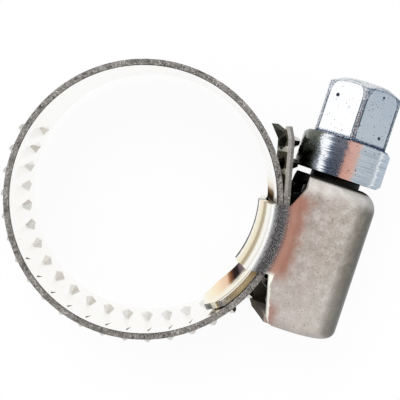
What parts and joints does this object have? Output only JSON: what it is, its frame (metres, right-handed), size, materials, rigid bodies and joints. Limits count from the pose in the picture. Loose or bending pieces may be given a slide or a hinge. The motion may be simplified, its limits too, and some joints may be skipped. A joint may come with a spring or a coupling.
{
  "type": "worm drive hose clamp with hex head screw",
  "caption": "Steel worm-drive hose clamp: a pressed-thread band wound into a ring, a folded screw housing and a hex-head worm screw that tightens it.",
  "frame": {"origin": "centre of the ring, on its axis, at the middle of the band's width", "axes": "+Z along the ring's axis, +X from the ring towards the screw housing, +Y along the screw towards its hex head"},
  "size_m": [0.0357, 0.0311, 0.0116],
  "materials": {
    "band_steel": "rolled stainless strip with grey sheared edges and straw heat tint by the welds",
    "housing_steel": "satin drawn stainless sheet, warm grey",
    "screw_zinc": "bright blue-white zinc plating over turned and forged steel"
  },
  "bodies": {
    "clamp": {"band": "band_steel", "housing": "housing_steel"},
    "screw": {"screw": "screw_zinc"}
  },
  "joints": [
    {"name": "screw_turn", "type": "hinge", "parent": "clamp", "child": "screw", "pos_m": [0.01727, 0, 0], "axis": [0, 1, 0], "range_deg": [-4680, 1080], "deforming": ["band"]}
  ]
}
